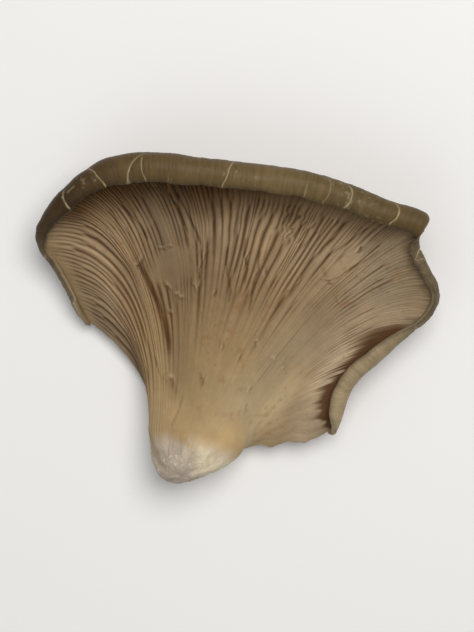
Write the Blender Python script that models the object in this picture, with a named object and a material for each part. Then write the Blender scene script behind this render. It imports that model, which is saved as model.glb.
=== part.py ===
"""An oyster mushroom as picked, lying on the back of its cap with the gills up.

Millimetres in the tables, metres in the mesh.  +Z is up, the stem end points to -Y and the
rolled far margin of the fan-shaped cap to +Y.  The origin is the middle of the body's box at
the level of the surface it rests on.  The whole mushroom is one body: a short lateral stem
whose round section opens out into a thin fan, and a cap margin that curls up and inward.
"""
import bmesh
import bpy
import numpy as np

# ---- driving dimensions, mm ---------------------------------------------------------------
STEM_CENTRE = (-14.2, -40.9, 19.0)   # middle of the oval section where stem meets cap
STEM_HALF_WIDTH = 15.9
STEM_HALF_DEPTH = 11.5
STEM_LENGTH = 15.2                   # from that section to the blunt end
STEM_LEAN = 4.6                      # how far the blunt end sits off the stem's axis
STEM_YAW = 74.5                      # plan heading of the stem axis towards the cap, degrees
STEM_PITCH = -17.0                   # the free end stands a little higher than the neck
NECK_THICK = 13.5                    # flesh under the gills beside the neck
MARGIN_THICK = 2.3                   # flesh where the margin starts to curl
FLAT_SINK = 1.0                      # how far the back is pressed flat where it lies
REST_TILT = (-4.8, 4.4)              # turn about X and about Y as it lies in balance, degrees
TEAR = 14                            # the roll is torn between this station and the next
ROUNDING = 0.0085                    # share of the margin over which corners are eased
COLUMNS = 58                         # facets round the fan
BODY_ROWS = 15                       # facets from stem to margin
CURL_ROWS = 7                        # facets round the curled margin
STEM_ROWS = 7

# Margin stations, clockwise round the cap from the hidden edge beside the stem to the low
# edge on the stem's other side.  Each row:
#  x, y of the outermost point | heading of the outward normal, deg | height of curl centre
#  | inner radius of curl | flesh at the tip | slope where the curl starts, deg | where it ends
#  | angle round the stem section at which its gill line starts, deg
#  | guide point near the stem x, y, z | guide point near the margin x, y
STATIONS = [
    (-51.4,  -3.4, 214, 10.6, 0.8, 1.1,  8,  34, 212, -27.4, -24.5,  6.5, -35.0, -12.5),
    (-55.2,   4.5, 207, 13.0, 1.1, 1.2, 10,  92, 196, -30.0, -11.0, 16.5, -40.0,   2.5),
    (-60.9,  16.2, 212, 16.5, 1.2, 1.3, 14, 118, 181, -28.5,  -4.5, 18.5, -41.0,  14.0),
    (-65.2,  21.8, 202, 20.5, 1.2, 1.4, 20, 140, 169, -25.5,   1.0, 17.0, -41.0,  22.5),
    (-66.5,  27.0, 180, 23.0, 1.2, 1.8, 24, 196, 160, -23.0,   5.0, 14.0, -41.5,  29.5),
    (-62.2,  35.2, 147, 28.5, 1.6, 2.0, 31, 212, 150, -22.5,   9.0, 10.5, -42.5,  35.0),
    (-54.0,  44.2, 129, 33.5, 2.1, 2.1, 37, 226, 139, -21.5,  11.5,  7.0, -38.0,  34.5),
    (-42.8,  51.2, 109, 36.0, 2.8, 2.1, 40, 238, 128, -16.5,   8.0,  4.0, -27.5,  34.0),
    (-29.0,  53.2,  92, 38.0, 3.0, 2.1, 41, 240, 117, -12.0,   6.0,  2.0, -17.0,  33.5),
    (-15.1,  51.5,  84, 39.5, 2.8, 2.1, 42, 240, 107,  -8.5,   3.5,  1.0,  -7.5,  30.0),
    (  2.0,  49.4,  84, 40.5, 2.6, 2.1, 42, 238,  97,  -4.5,   1.5,  0.5,   2.0,  28.0),
    ( 17.8,  47.4,  80, 41.5, 2.6, 2.1, 42, 236,  88,   0.5,  -1.0,  1.0,  12.0,  24.5),
    ( 31.6,  43.9,  72, 42.0, 2.6, 2.1, 41, 236,  79,   4.5,  -4.0,  2.0,  21.5,  24.0),
    ( 45.2,  38.3,  68, 42.0, 2.5, 2.1, 39, 234,  70,   8.0,  -7.0,  3.5,  31.5,  22.0),
    ( 61.0,  31.6,  58, 41.5, 2.3, 2.1, 38, 230,  61,  11.0, -10.0,  5.5,  41.5,  20.5),
    ( 57.8,  24.6,  30, 36.5, 1.1, 1.4, 34, 192,  53,  12.0, -11.5,  6.5,  40.5,  17.0),
    ( 61.6,  16.4,  24, 35.0, 1.1, 1.4, 33, 184,  45,  13.5, -13.0,  7.5,  42.0,  13.0),
    ( 65.3,   6.6,   6, 33.0, 0.9, 1.3, 31, 148,  36,  15.0, -15.5,  9.0,  43.5,   8.0),
    ( 61.0,  -2.1, -33, 31.0, 0.8, 1.3, 28, 128,  27,  15.5, -18.0, 10.0,  41.5,   1.5),
    ( 54.8,  -7.1, -49, 28.0, 1.1, 1.4, 20, 172,  18,  15.0, -21.5, 11.5,  38.0,  -5.5),
    ( 46.9, -14.2, -46, 27.0, 1.4, 1.5, 16, 205,   8,  14.0, -24.5, 12.5,  32.0, -13.5),
    ( 37.0, -24.4, -28, 25.5, 1.6, 1.5, 10, 208,  -4,  12.5, -29.5, 14.0,  26.8, -23.5),
    ( 33.9, -34.6, -12, 22.5, 1.6, 1.4,  0, 186, -18,  11.0, -36.0, 14.0,  24.4, -33.5),
    ( 32.4, -40.4, -45, 18.5, 0.8, 1.3, -8,  34, -34,   8.0, -41.0, 10.5,  20.8, -44.0),
]


def smooth(a, b, x):
    t = np.clip((np.asarray(x, float) - a) / (b - a), 0.0, 1.0)
    return t * t * (3.0 - 2.0 * t)


def unit(v):
    return v / np.maximum(np.linalg.norm(v, axis=-1, keepdims=True), 1e-9)


def monotone(xs, ys, x):
    """Piecewise cubic through (xs, ys) with no overshoot; ys may have several columns."""
    ys = ys.reshape(len(xs), -1)
    h = np.diff(xs)[:, None]
    d = np.diff(ys, axis=0) / h
    m = np.zeros_like(ys)
    w1, w2 = 2 * h[1:] + h[:-1], h[1:] + 2 * h[:-1]
    same = d[:-1] * d[1:] > 0
    safe = np.where(same, d[:-1] * d[1:], 1.0)
    m[1:-1] = np.where(same, (w1 + w2) * safe / (w1 * d[1:] + w2 * d[:-1] + 1e-30 * (~same)), 0.0)
    m[0], m[-1] = d[0], d[-1]
    i = np.clip(np.searchsorted(xs, x, side="right") - 1, 0, len(xs) - 2)
    t = ((x - xs[i]) / (xs[i + 1] - xs[i]))[:, None]
    hh = (xs[i + 1] - xs[i])[:, None]
    return ((2 * t**3 - 3 * t**2 + 1) * ys[i] + (t**3 - 2 * t**2 + t) * hh * m[i]
            + (-2 * t**3 + 3 * t**2) * ys[i + 1] + (t**3 - t**2) * hh * m[i + 1])


def fair(grid, passes, keep):
    """Even out a grid of points across its columns and rows; keep is 1 where a point stays."""
    for _ in range(passes):
        avg = grid.copy()
        avg[1:-1] = 0.5 * (grid[:-2] + grid[2:])
        side = grid.copy()
        side[:, 1:-1] = 0.5 * (grid[:, :-2] + grid[:, 2:])
        grid = grid + (1 - keep) * 0.5 * (0.5 * (avg + side) - grid)
    return grid


def stem_axes():
    yaw, pitch = np.radians(STEM_YAW), np.radians(STEM_PITCH)
    along = np.array([np.cos(yaw) * np.cos(pitch), np.sin(yaw) * np.cos(pitch), np.sin(pitch)])
    across = np.array([np.sin(yaw), -np.cos(yaw), 0.0])
    return along, across, np.cross(across, along)


def sheets(columns, body_rows, curl_rows):
    """Gill side F and skin side B of the fan, as grids [column, row, xyz] in mm."""
    table = np.array(STATIONS, float)
    steps = np.linalg.norm(np.diff(table[:, :2], axis=0), axis=1)
    at = np.concatenate([[0.0], np.cumsum(steps)])
    at /= at[-1]
    u = np.linspace(0.0, 1.0, columns)
    row = monotone(at, table, u)
    # round off the corners between stations, less so where the roll has torn at its tip
    torn = 0.5 * (at[TEAR] + at[TEAR + 1])
    ease = (1 - np.exp(-((u - torn) / 0.015) ** 2))[1:-1, None]
    for _ in range(max(1, round((ROUNDING * columns) ** 2 * 2))):
        row[1:-1] += ease * (0.25 * row[:-2] - 0.5 * row[1:-1] + 0.25 * row[2:])
    out = np.radians(row[:, 2])
    d = np.stack([np.cos(out), np.sin(out), 0 * out], -1)
    up = np.array([0.0, 0.0, 1.0])
    rg, tip = row[:, 4], row[:, 5]
    f0, f1 = np.radians(row[:, 6]), np.radians(row[:, 7])
    thick = MARGIN_THICK
    centre = np.concatenate([row[:, :2], row[:, 3:4]], 1) - d * (rg + thick)[:, None]
    p3 = centre + rg[:, None] * (np.sin(f0)[:, None] * d - np.cos(f0)[:, None] * up)
    along, across, top = stem_axes()
    a = np.radians(row[:, 8])
    ring = (np.array(STEM_CENTRE) + STEM_HALF_WIDTH * np.cos(a)[:, None] * across
            + STEM_HALF_DEPTH * np.sin(a)[:, None] * top)
    p1 = row[:, 9:12]
    reach = ((p3[:, :2] - row[:, 12:14]) * d[:, :2]).sum(1)
    p2 = np.concatenate([row[:, 12:14], (p3[:, 2] - reach * np.tan(f0))[:, None]], 1)
    t = np.linspace(0.0, 1.0, body_rows + 1)[None, :, None]
    # the first stretch leaves the stem along its own axis
    q = ring + along * np.linalg.norm(p1 - ring, axis=1)[:, None] * 0.33
    w = [(1 - t) ** 4, 4 * t * (1 - t) ** 3, 6 * t**2 * (1 - t) ** 2, 4 * t**3 * (1 - t), t**4]
    near = 0.35 * q + 0.65 * p1
    far = 0.30 * p1 + 0.70 * p2
    last = 0.25 * p3 + 0.75 * p2
    body = (w[0] * ring[:, None] + w[1] * near[:, None] + w[2] * far[:, None]
            + w[3] * last[:, None] + w[4] * p3[:, None])
    s = np.linspace(0.0, 1.0, curl_rows + 1)[1:]
    phi = f0[:, None] + (f1 - f0)[:, None] * s
    radius = rg[:, None] + 0 * s
    radial = np.sin(phi)[..., None] * d[:, None] - np.cos(phi)[..., None] * up
    curl = centre[:, None] + radius[..., None] * radial
    F = np.concatenate([body, curl], 1)
    # flesh: full beside the neck, thin at the margin, rounded off along both free sides
    v = np.linspace(0.0, 1.0, body_rows + 1)
    full = thick + (NECK_THICK - thick) * (1 - smooth(0.12, 1.0, v)) ** 1.25
    across_len = np.linalg.norm(np.diff(F[:, :body_rows + 1], axis=0), axis=2)
    left = np.concatenate([np.zeros((1, body_rows + 1)), np.cumsum(across_len, 0)], 0)
    right = left[-1] - left
    side = np.minimum(left, right)
    rise = np.sqrt(1 - (1 - np.clip(side / (full * 1.3 + 1.0), 0, 1)) ** 2)
    flesh = 1.5 + (full - 1.5) * rise
    # downward direction of the flesh: straight down inside the cap, square to it at the margin
    du = np.gradient(F, axis=0)
    dv = np.gradient(F, axis=1)
    n = unit(np.cross(dv, du))
    n = n[:, :body_rows + 1] * np.sign(n[columns // 2, body_rows // 2, 2])
    lift = (smooth(0.55, 0.95, v)[None, :, None] * 0.75 + 0.25) * np.ones((columns, 1, 1))
    edge = (1 - np.clip(side / 12.0, 0, 1))[..., None]
    m = unit(n * np.maximum(lift, edge) + up * (1 - np.maximum(lift, edge)))
    m[:, -1] = -radial_at(f0, d, up)
    B_body = F[:, :body_rows + 1] - m * flesh[..., None]
    outermost = ((np.pi / 2 - f0) / (f1 - f0))[:, None]
    tk = thick + (tip[:, None] - thick) * smooth(outermost, np.maximum(outermost + 0.05, 1.0), s)
    B_curl = curl + radial * tk[..., None]
    # beside the neck the underside bridges straight from one free side to the other
    share = left / left[-1]
    share = share * share * (3 - 2 * share)
    lo, hi = F[0, :body_rows + 1] - m[0] * 1.5, F[-1, :body_rows + 1] - m[-1] * 1.5
    chord = lo[None] + (hi - lo)[None] * share[..., None]
    sag = 4 * share * (1 - share)
    floor = 7.0 - 6.5 * smooth(0.0, 0.34, v)
    drop = np.maximum(0.5 * (lo[:, 2] + hi[:, 2]) - floor, 0)
    chord[..., 2] -= sag * drop[None]
    blend = smooth(0.04, 0.42, v)[None, :, None]
    B_body = (1 - blend) * chord + blend * B_body
    B = np.concatenate([B_body, B_curl], 1)
    keep = np.zeros((columns, F.shape[1], 1))
    keep[:, :2] = 1
    keep[:, body_rows:] = 1
    keep[0], keep[-1] = 1, 1
    B = fair(B, max(1, round(6 * (columns / 59) * (body_rows / 15))), keep)
    return F, B


def radial_at(f0, d, up):
    return np.sin(f0)[:, None] * d - np.cos(f0)[:, None] * up


def rings(F, B):
    """Closed loops round the body, one for each row: gill side, right edge, skin, left edge."""
    mid_r = 0.5 * (F[-1] + B[-1])
    mid_l = 0.5 * (F[0] + B[0])
    push_r = unit(F[-1] - F[-3] + B[-1] - B[-3]) * 0.35 * np.linalg.norm(F[-1] - B[-1], axis=1)[:, None]
    push_l = unit(F[0] - F[2] + B[0] - B[2]) * 0.35 * np.linalg.norm(F[0] - B[0], axis=1)[:, None]
    return np.concatenate([F, (mid_r + push_r)[None], B[::-1], (mid_l + push_l)[None]], 0)


def stem_loops(first, rows):
    """Loops from the neck to the blunt end of the stem, and the end point."""
    along, across, top = stem_axes()
    base = np.array(STEM_CENTRE)
    rel = first - base
    ang = np.arctan2((rel @ top) / STEM_HALF_DEPTH, (rel @ across) / STEM_HALF_WIDTH)
    across_part, top_part = (rel @ across)[:, None] * across, (rel @ top)[:, None] * top
    behind = rel - across_part - top_part
    loops = []
    for k in range(1, rows + 1):
        x = np.sin(0.5 * np.pi * k / (rows + 0.7))
        lean = -across * STEM_LEAN * x ** 1.6
        wide = (1 - x ** 1.15) ** 0.55
        deep = (1 - x ** 2.2) ** 0.5
        oval = (wide * STEM_HALF_WIDTH * np.cos(ang)[:, None] * across
                + deep * STEM_HALF_DEPTH * np.sin(ang)[:, None] * top)
        carried = wide * across_part + deep * top_part + (1 - x) * behind
        w = smooth(0.0, 0.7, x)
        loops.append(base + lean - along * STEM_LENGTH * x + (1 - w) * carried + w * oval)
    end = base - across * STEM_LEAN - along * STEM_LENGTH
    return loops, end


def resting(tall):
    """The turn and the shift that lay the body in balance, centred over the origin."""
    a, b = np.radians(REST_TILT)
    about_x = np.array([[1, 0, 0], [0, np.cos(a), -np.sin(a)], [0, np.sin(a), np.cos(a)]])
    about_y = np.array([[np.cos(b), 0, np.sin(b)], [0, 1, 0], [-np.sin(b), 0, np.cos(b)]])
    turn = (about_y @ about_x).T
    points = (tall @ turn).reshape(-1, 3)
    lo, hi = points.min(0), points.max(0)
    return turn, np.array([0.5 * (lo[0] + hi[0]), 0.5 * (lo[1] + hi[1]), lo[2] + FLAT_SINK])


def build():
    for obj in list(bpy.data.objects):
        bpy.data.objects.remove(obj, do_unlink=True)
    F, B = sheets(COLUMNS + 1, BODY_ROWS, CURL_ROWS)
    loop = rings(F, B)
    stem, end = stem_loops(loop[:, 0], STEM_ROWS)
    count, rows = loop.shape[0], loop.shape[1]
    tall = np.stack(list(reversed(stem)) + [loop[:, k] for k in range(rows)], 0)
    turn, shift = resting(tall)
    tall, end = tall @ turn - shift, end @ turn - shift
    tall[..., 2] = np.maximum(tall[..., 2], 0.0)   # pressed flat where it lies
    tall, end = tall / 1000.0, end / 1000.0

    bm = bmesh.new()
    verts = [[bm.verts.new(p) for p in ring] for ring in tall]
    tip = bm.verts.new(end)
    for j in range(count):
        k = (j + 1) % count
        bm.faces.new((tip, verts[0][j], verts[0][k]))
        for i in range(len(verts) - 1):
            bm.faces.new((verts[i][j], verts[i + 1][j], verts[i + 1][k], verts[i][k]))
    last = verts[-1]
    n = COLUMNS + 1
    for j in range(n - 1):   # close the tip of the curled margin, gill side to skin side
        bm.faces.new((last[j], last[2 * n - j], last[2 * n - j - 1], last[j + 1]))
    bm.faces.new((last[n - 1], last[n + 1], last[n]))
    bm.faces.new((last[0], last[2 * n + 1], last[2 * n]))
    bmesh.ops.recalc_face_normals(bm, faces=bm.faces)
    bmesh.ops.triangulate(bm, faces=bm.faces)
    mesh = bpy.data.meshes.new("oyster_mushroom")
    bm.to_mesh(mesh)
    bm.free()
    mesh.shade_smooth()
    mushroom = bpy.data.objects.new("oyster_mushroom", mesh)
    bpy.context.scene.collection.objects.link(mushroom)

    skin = bpy.data.materials.new("mushroom_flesh")
    skin.use_nodes = True
    shader = skin.node_tree.nodes["Principled BSDF"]
    shader.inputs["Base Color"].default_value = (0.30, 0.22, 0.14, 1.0)
    shader.inputs["Roughness"].default_value = 0.62
    shader.inputs["Metallic"].default_value = 0.0
    mesh.materials.append(skin)


build()
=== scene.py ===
"""Looks of an oyster mushroom lying gills up: gills, folds, split skin and fuzzy stem end.

The base sheets repeat the CAD's own dimensions and functions, so that the visual model lies
exactly where the CAD solid does.  Tables are in millimetres; the mesh is in metres.
"""

import bmesh
import bpy
import numpy as np
from mathutils import Matrix, Vector


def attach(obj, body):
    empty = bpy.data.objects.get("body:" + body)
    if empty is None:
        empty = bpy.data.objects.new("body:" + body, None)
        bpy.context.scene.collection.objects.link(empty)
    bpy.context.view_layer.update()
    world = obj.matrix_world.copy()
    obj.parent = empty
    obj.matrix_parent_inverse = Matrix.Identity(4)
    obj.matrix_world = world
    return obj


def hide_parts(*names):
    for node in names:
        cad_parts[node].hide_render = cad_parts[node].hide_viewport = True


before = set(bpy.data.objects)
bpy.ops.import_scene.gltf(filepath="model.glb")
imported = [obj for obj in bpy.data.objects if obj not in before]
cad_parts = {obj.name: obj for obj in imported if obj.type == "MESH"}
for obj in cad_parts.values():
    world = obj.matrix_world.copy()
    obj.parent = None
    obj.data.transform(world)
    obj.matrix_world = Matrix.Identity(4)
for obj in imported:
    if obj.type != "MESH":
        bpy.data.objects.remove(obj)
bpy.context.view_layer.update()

# ---- driving dimensions, mm ---------------------------------------------------------------
STEM_CENTRE = (-14.2, -40.9, 19.0)   # middle of the oval section where stem meets cap
STEM_HALF_WIDTH = 15.9
STEM_HALF_DEPTH = 11.5
STEM_LENGTH = 15.2                   # from that section to the blunt end
STEM_LEAN = 4.6                      # how far the blunt end sits off the stem's axis
STEM_YAW = 74.5                      # plan heading of the stem axis towards the cap, degrees
STEM_PITCH = -17.0                   # the free end stands a little higher than the neck
NECK_THICK = 13.5                    # flesh under the gills beside the neck
MARGIN_THICK = 2.3                   # flesh where the margin starts to curl
FLAT_SINK = 1.0                      # how far the back is pressed flat where it lies
REST_TILT = (-4.8, 4.4)              # turn about X and about Y as it lies in balance, degrees
TEAR = 14                            # the roll is torn between this station and the next
ROUNDING = 0.0085                    # share of the margin over which corners are eased
COLUMNS = 58                         # facets round the fan
BODY_ROWS = 15                       # facets from stem to margin
CURL_ROWS = 7                        # facets round the curled margin
STEM_ROWS = 7

# Margin stations, clockwise round the cap from the hidden edge beside the stem to the low
# edge on the stem's other side.  Each row:
#  x, y of the outermost point | heading of the outward normal, deg | height of curl centre
#  | inner radius of curl | flesh at the tip | slope where the curl starts, deg | where it ends
#  | angle round the stem section at which its gill line starts, deg
#  | guide point near the stem x, y, z | guide point near the margin x, y
STATIONS = [
    (-51.4,  -3.4, 214, 10.6, 0.8, 1.1,  8,  34, 212, -27.4, -24.5,  6.5, -35.0, -12.5),
    (-55.2,   4.5, 207, 13.0, 1.1, 1.2, 10,  92, 196, -30.0, -11.0, 16.5, -40.0,   2.5),
    (-60.9,  16.2, 212, 16.5, 1.2, 1.3, 14, 118, 181, -28.5,  -4.5, 18.5, -41.0,  14.0),
    (-65.2,  21.8, 202, 20.5, 1.2, 1.4, 20, 140, 169, -25.5,   1.0, 17.0, -41.0,  22.5),
    (-66.5,  27.0, 180, 23.0, 1.2, 1.8, 24, 196, 160, -23.0,   5.0, 14.0, -41.5,  29.5),
    (-62.2,  35.2, 147, 28.5, 1.6, 2.0, 31, 212, 150, -22.5,   9.0, 10.5, -42.5,  35.0),
    (-54.0,  44.2, 129, 33.5, 2.1, 2.1, 37, 226, 139, -21.5,  11.5,  7.0, -38.0,  34.5),
    (-42.8,  51.2, 109, 36.0, 2.8, 2.1, 40, 238, 128, -16.5,   8.0,  4.0, -27.5,  34.0),
    (-29.0,  53.2,  92, 38.0, 3.0, 2.1, 41, 240, 117, -12.0,   6.0,  2.0, -17.0,  33.5),
    (-15.1,  51.5,  84, 39.5, 2.8, 2.1, 42, 240, 107,  -8.5,   3.5,  1.0,  -7.5,  30.0),
    (  2.0,  49.4,  84, 40.5, 2.6, 2.1, 42, 238,  97,  -4.5,   1.5,  0.5,   2.0,  28.0),
    ( 17.8,  47.4,  80, 41.5, 2.6, 2.1, 42, 236,  88,   0.5,  -1.0,  1.0,  12.0,  24.5),
    ( 31.6,  43.9,  72, 42.0, 2.6, 2.1, 41, 236,  79,   4.5,  -4.0,  2.0,  21.5,  24.0),
    ( 45.2,  38.3,  68, 42.0, 2.5, 2.1, 39, 234,  70,   8.0,  -7.0,  3.5,  31.5,  22.0),
    ( 61.0,  31.6,  58, 41.5, 2.3, 2.1, 38, 230,  61,  11.0, -10.0,  5.5,  41.5,  20.5),
    ( 57.8,  24.6,  30, 36.5, 1.1, 1.4, 34, 192,  53,  12.0, -11.5,  6.5,  40.5,  17.0),
    ( 61.6,  16.4,  24, 35.0, 1.1, 1.4, 33, 184,  45,  13.5, -13.0,  7.5,  42.0,  13.0),
    ( 65.3,   6.6,   6, 33.0, 0.9, 1.3, 31, 148,  36,  15.0, -15.5,  9.0,  43.5,   8.0),
    ( 61.0,  -2.1, -33, 31.0, 0.8, 1.3, 28, 128,  27,  15.5, -18.0, 10.0,  41.5,   1.5),
    ( 54.8,  -7.1, -49, 28.0, 1.1, 1.4, 20, 172,  18,  15.0, -21.5, 11.5,  38.0,  -5.5),
    ( 46.9, -14.2, -46, 27.0, 1.4, 1.5, 16, 205,   8,  14.0, -24.5, 12.5,  32.0, -13.5),
    ( 37.0, -24.4, -28, 25.5, 1.6, 1.5, 10, 208,  -4,  12.5, -29.5, 14.0,  26.8, -23.5),
    ( 33.9, -34.6, -12, 22.5, 1.6, 1.4,  0, 186, -18,  11.0, -36.0, 14.0,  24.4, -33.5),
    ( 32.4, -40.4, -45, 18.5, 0.8, 1.3, -8,  34, -34,   8.0, -41.0, 10.5,  20.8, -44.0),
]


def smooth(a, b, x):
    t = np.clip((np.asarray(x, float) - a) / (b - a), 0.0, 1.0)
    return t * t * (3.0 - 2.0 * t)


def unit(v):
    return v / np.maximum(np.linalg.norm(v, axis=-1, keepdims=True), 1e-9)


def monotone(xs, ys, x):
    """Piecewise cubic through (xs, ys) with no overshoot; ys may have several columns."""
    ys = ys.reshape(len(xs), -1)
    h = np.diff(xs)[:, None]
    d = np.diff(ys, axis=0) / h
    m = np.zeros_like(ys)
    w1, w2 = 2 * h[1:] + h[:-1], h[1:] + 2 * h[:-1]
    same = d[:-1] * d[1:] > 0
    safe = np.where(same, d[:-1] * d[1:], 1.0)
    m[1:-1] = np.where(same, (w1 + w2) * safe / (w1 * d[1:] + w2 * d[:-1] + 1e-30 * (~same)), 0.0)
    m[0], m[-1] = d[0], d[-1]
    i = np.clip(np.searchsorted(xs, x, side="right") - 1, 0, len(xs) - 2)
    t = ((x - xs[i]) / (xs[i + 1] - xs[i]))[:, None]
    hh = (xs[i + 1] - xs[i])[:, None]
    return ((2 * t**3 - 3 * t**2 + 1) * ys[i] + (t**3 - 2 * t**2 + t) * hh * m[i]
            + (-2 * t**3 + 3 * t**2) * ys[i + 1] + (t**3 - t**2) * hh * m[i + 1])


def fair(grid, passes, keep):
    """Even out a grid of points across its columns and rows; keep is 1 where a point stays."""
    for _ in range(passes):
        avg = grid.copy()
        avg[1:-1] = 0.5 * (grid[:-2] + grid[2:])
        side = grid.copy()
        side[:, 1:-1] = 0.5 * (grid[:, :-2] + grid[:, 2:])
        grid = grid + (1 - keep) * 0.5 * (0.5 * (avg + side) - grid)
    return grid


def stem_axes():
    yaw, pitch = np.radians(STEM_YAW), np.radians(STEM_PITCH)
    along = np.array([np.cos(yaw) * np.cos(pitch), np.sin(yaw) * np.cos(pitch), np.sin(pitch)])
    across = np.array([np.sin(yaw), -np.cos(yaw), 0.0])
    return along, across, np.cross(across, along)


def sheets(columns, body_rows, curl_rows):
    """Gill side F and skin side B of the fan, as grids [column, row, xyz] in mm."""
    table = np.array(STATIONS, float)
    steps = np.linalg.norm(np.diff(table[:, :2], axis=0), axis=1)
    at = np.concatenate([[0.0], np.cumsum(steps)])
    at /= at[-1]
    u = np.linspace(0.0, 1.0, columns)
    row = monotone(at, table, u)
    # round off the corners between stations, less so where the roll has torn at its tip
    torn = 0.5 * (at[TEAR] + at[TEAR + 1])
    ease = (1 - np.exp(-((u - torn) / 0.015) ** 2))[1:-1, None]
    for _ in range(max(1, round((ROUNDING * columns) ** 2 * 2))):
        row[1:-1] += ease * (0.25 * row[:-2] - 0.5 * row[1:-1] + 0.25 * row[2:])
    out = np.radians(row[:, 2])
    d = np.stack([np.cos(out), np.sin(out), 0 * out], -1)
    up = np.array([0.0, 0.0, 1.0])
    rg, tip = row[:, 4], row[:, 5]
    f0, f1 = np.radians(row[:, 6]), np.radians(row[:, 7])
    thick = MARGIN_THICK
    centre = np.concatenate([row[:, :2], row[:, 3:4]], 1) - d * (rg + thick)[:, None]
    p3 = centre + rg[:, None] * (np.sin(f0)[:, None] * d - np.cos(f0)[:, None] * up)
    along, across, top = stem_axes()
    a = np.radians(row[:, 8])
    ring = (np.array(STEM_CENTRE) + STEM_HALF_WIDTH * np.cos(a)[:, None] * across
            + STEM_HALF_DEPTH * np.sin(a)[:, None] * top)
    p1 = row[:, 9:12]
    reach = ((p3[:, :2] - row[:, 12:14]) * d[:, :2]).sum(1)
    p2 = np.concatenate([row[:, 12:14], (p3[:, 2] - reach * np.tan(f0))[:, None]], 1)
    t = np.linspace(0.0, 1.0, body_rows + 1)[None, :, None]
    # the first stretch leaves the stem along its own axis
    q = ring + along * np.linalg.norm(p1 - ring, axis=1)[:, None] * 0.33
    w = [(1 - t) ** 4, 4 * t * (1 - t) ** 3, 6 * t**2 * (1 - t) ** 2, 4 * t**3 * (1 - t), t**4]
    near = 0.35 * q + 0.65 * p1
    far = 0.30 * p1 + 0.70 * p2
    last = 0.25 * p3 + 0.75 * p2
    body = (w[0] * ring[:, None] + w[1] * near[:, None] + w[2] * far[:, None]
            + w[3] * last[:, None] + w[4] * p3[:, None])
    s = np.linspace(0.0, 1.0, curl_rows + 1)[1:]
    phi = f0[:, None] + (f1 - f0)[:, None] * s
    radius = rg[:, None] + 0 * s
    radial = np.sin(phi)[..., None] * d[:, None] - np.cos(phi)[..., None] * up
    curl = centre[:, None] + radius[..., None] * radial
    F = np.concatenate([body, curl], 1)
    # flesh: full beside the neck, thin at the margin, rounded off along both free sides
    v = np.linspace(0.0, 1.0, body_rows + 1)
    full = thick + (NECK_THICK - thick) * (1 - smooth(0.12, 1.0, v)) ** 1.25
    across_len = np.linalg.norm(np.diff(F[:, :body_rows + 1], axis=0), axis=2)
    left = np.concatenate([np.zeros((1, body_rows + 1)), np.cumsum(across_len, 0)], 0)
    right = left[-1] - left
    side = np.minimum(left, right)
    rise = np.sqrt(1 - (1 - np.clip(side / (full * 1.3 + 1.0), 0, 1)) ** 2)
    flesh = 1.5 + (full - 1.5) * rise
    # downward direction of the flesh: straight down inside the cap, square to it at the margin
    du = np.gradient(F, axis=0)
    dv = np.gradient(F, axis=1)
    n = unit(np.cross(dv, du))
    n = n[:, :body_rows + 1] * np.sign(n[columns // 2, body_rows // 2, 2])
    lift = (smooth(0.55, 0.95, v)[None, :, None] * 0.75 + 0.25) * np.ones((columns, 1, 1))
    edge = (1 - np.clip(side / 12.0, 0, 1))[..., None]
    m = unit(n * np.maximum(lift, edge) + up * (1 - np.maximum(lift, edge)))
    m[:, -1] = -radial_at(f0, d, up)
    B_body = F[:, :body_rows + 1] - m * flesh[..., None]
    outermost = ((np.pi / 2 - f0) / (f1 - f0))[:, None]
    tk = thick + (tip[:, None] - thick) * smooth(outermost, np.maximum(outermost + 0.05, 1.0), s)
    B_curl = curl + radial * tk[..., None]
    # beside the neck the underside bridges straight from one free side to the other
    share = left / left[-1]
    share = share * share * (3 - 2 * share)
    lo, hi = F[0, :body_rows + 1] - m[0] * 1.5, F[-1, :body_rows + 1] - m[-1] * 1.5
    chord = lo[None] + (hi - lo)[None] * share[..., None]
    sag = 4 * share * (1 - share)
    floor = 7.0 - 6.5 * smooth(0.0, 0.34, v)
    drop = np.maximum(0.5 * (lo[:, 2] + hi[:, 2]) - floor, 0)
    chord[..., 2] -= sag * drop[None]
    blend = smooth(0.04, 0.42, v)[None, :, None]
    B_body = (1 - blend) * chord + blend * B_body
    B = np.concatenate([B_body, B_curl], 1)
    keep = np.zeros((columns, F.shape[1], 1))
    keep[:, :2] = 1
    keep[:, body_rows:] = 1
    keep[0], keep[-1] = 1, 1
    B = fair(B, max(1, round(6 * (columns / 59) * (body_rows / 15))), keep)
    return F, B


def radial_at(f0, d, up):
    return np.sin(f0)[:, None] * d - np.cos(f0)[:, None] * up


def rings(F, B):
    """Closed loops round the body, one for each row: gill side, right edge, skin, left edge."""
    mid_r = 0.5 * (F[-1] + B[-1])
    mid_l = 0.5 * (F[0] + B[0])
    push_r = unit(F[-1] - F[-3] + B[-1] - B[-3]) * 0.35 * np.linalg.norm(F[-1] - B[-1], axis=1)[:, None]
    push_l = unit(F[0] - F[2] + B[0] - B[2]) * 0.35 * np.linalg.norm(F[0] - B[0], axis=1)[:, None]
    return np.concatenate([F, (mid_r + push_r)[None], B[::-1], (mid_l + push_l)[None]], 0)


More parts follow.
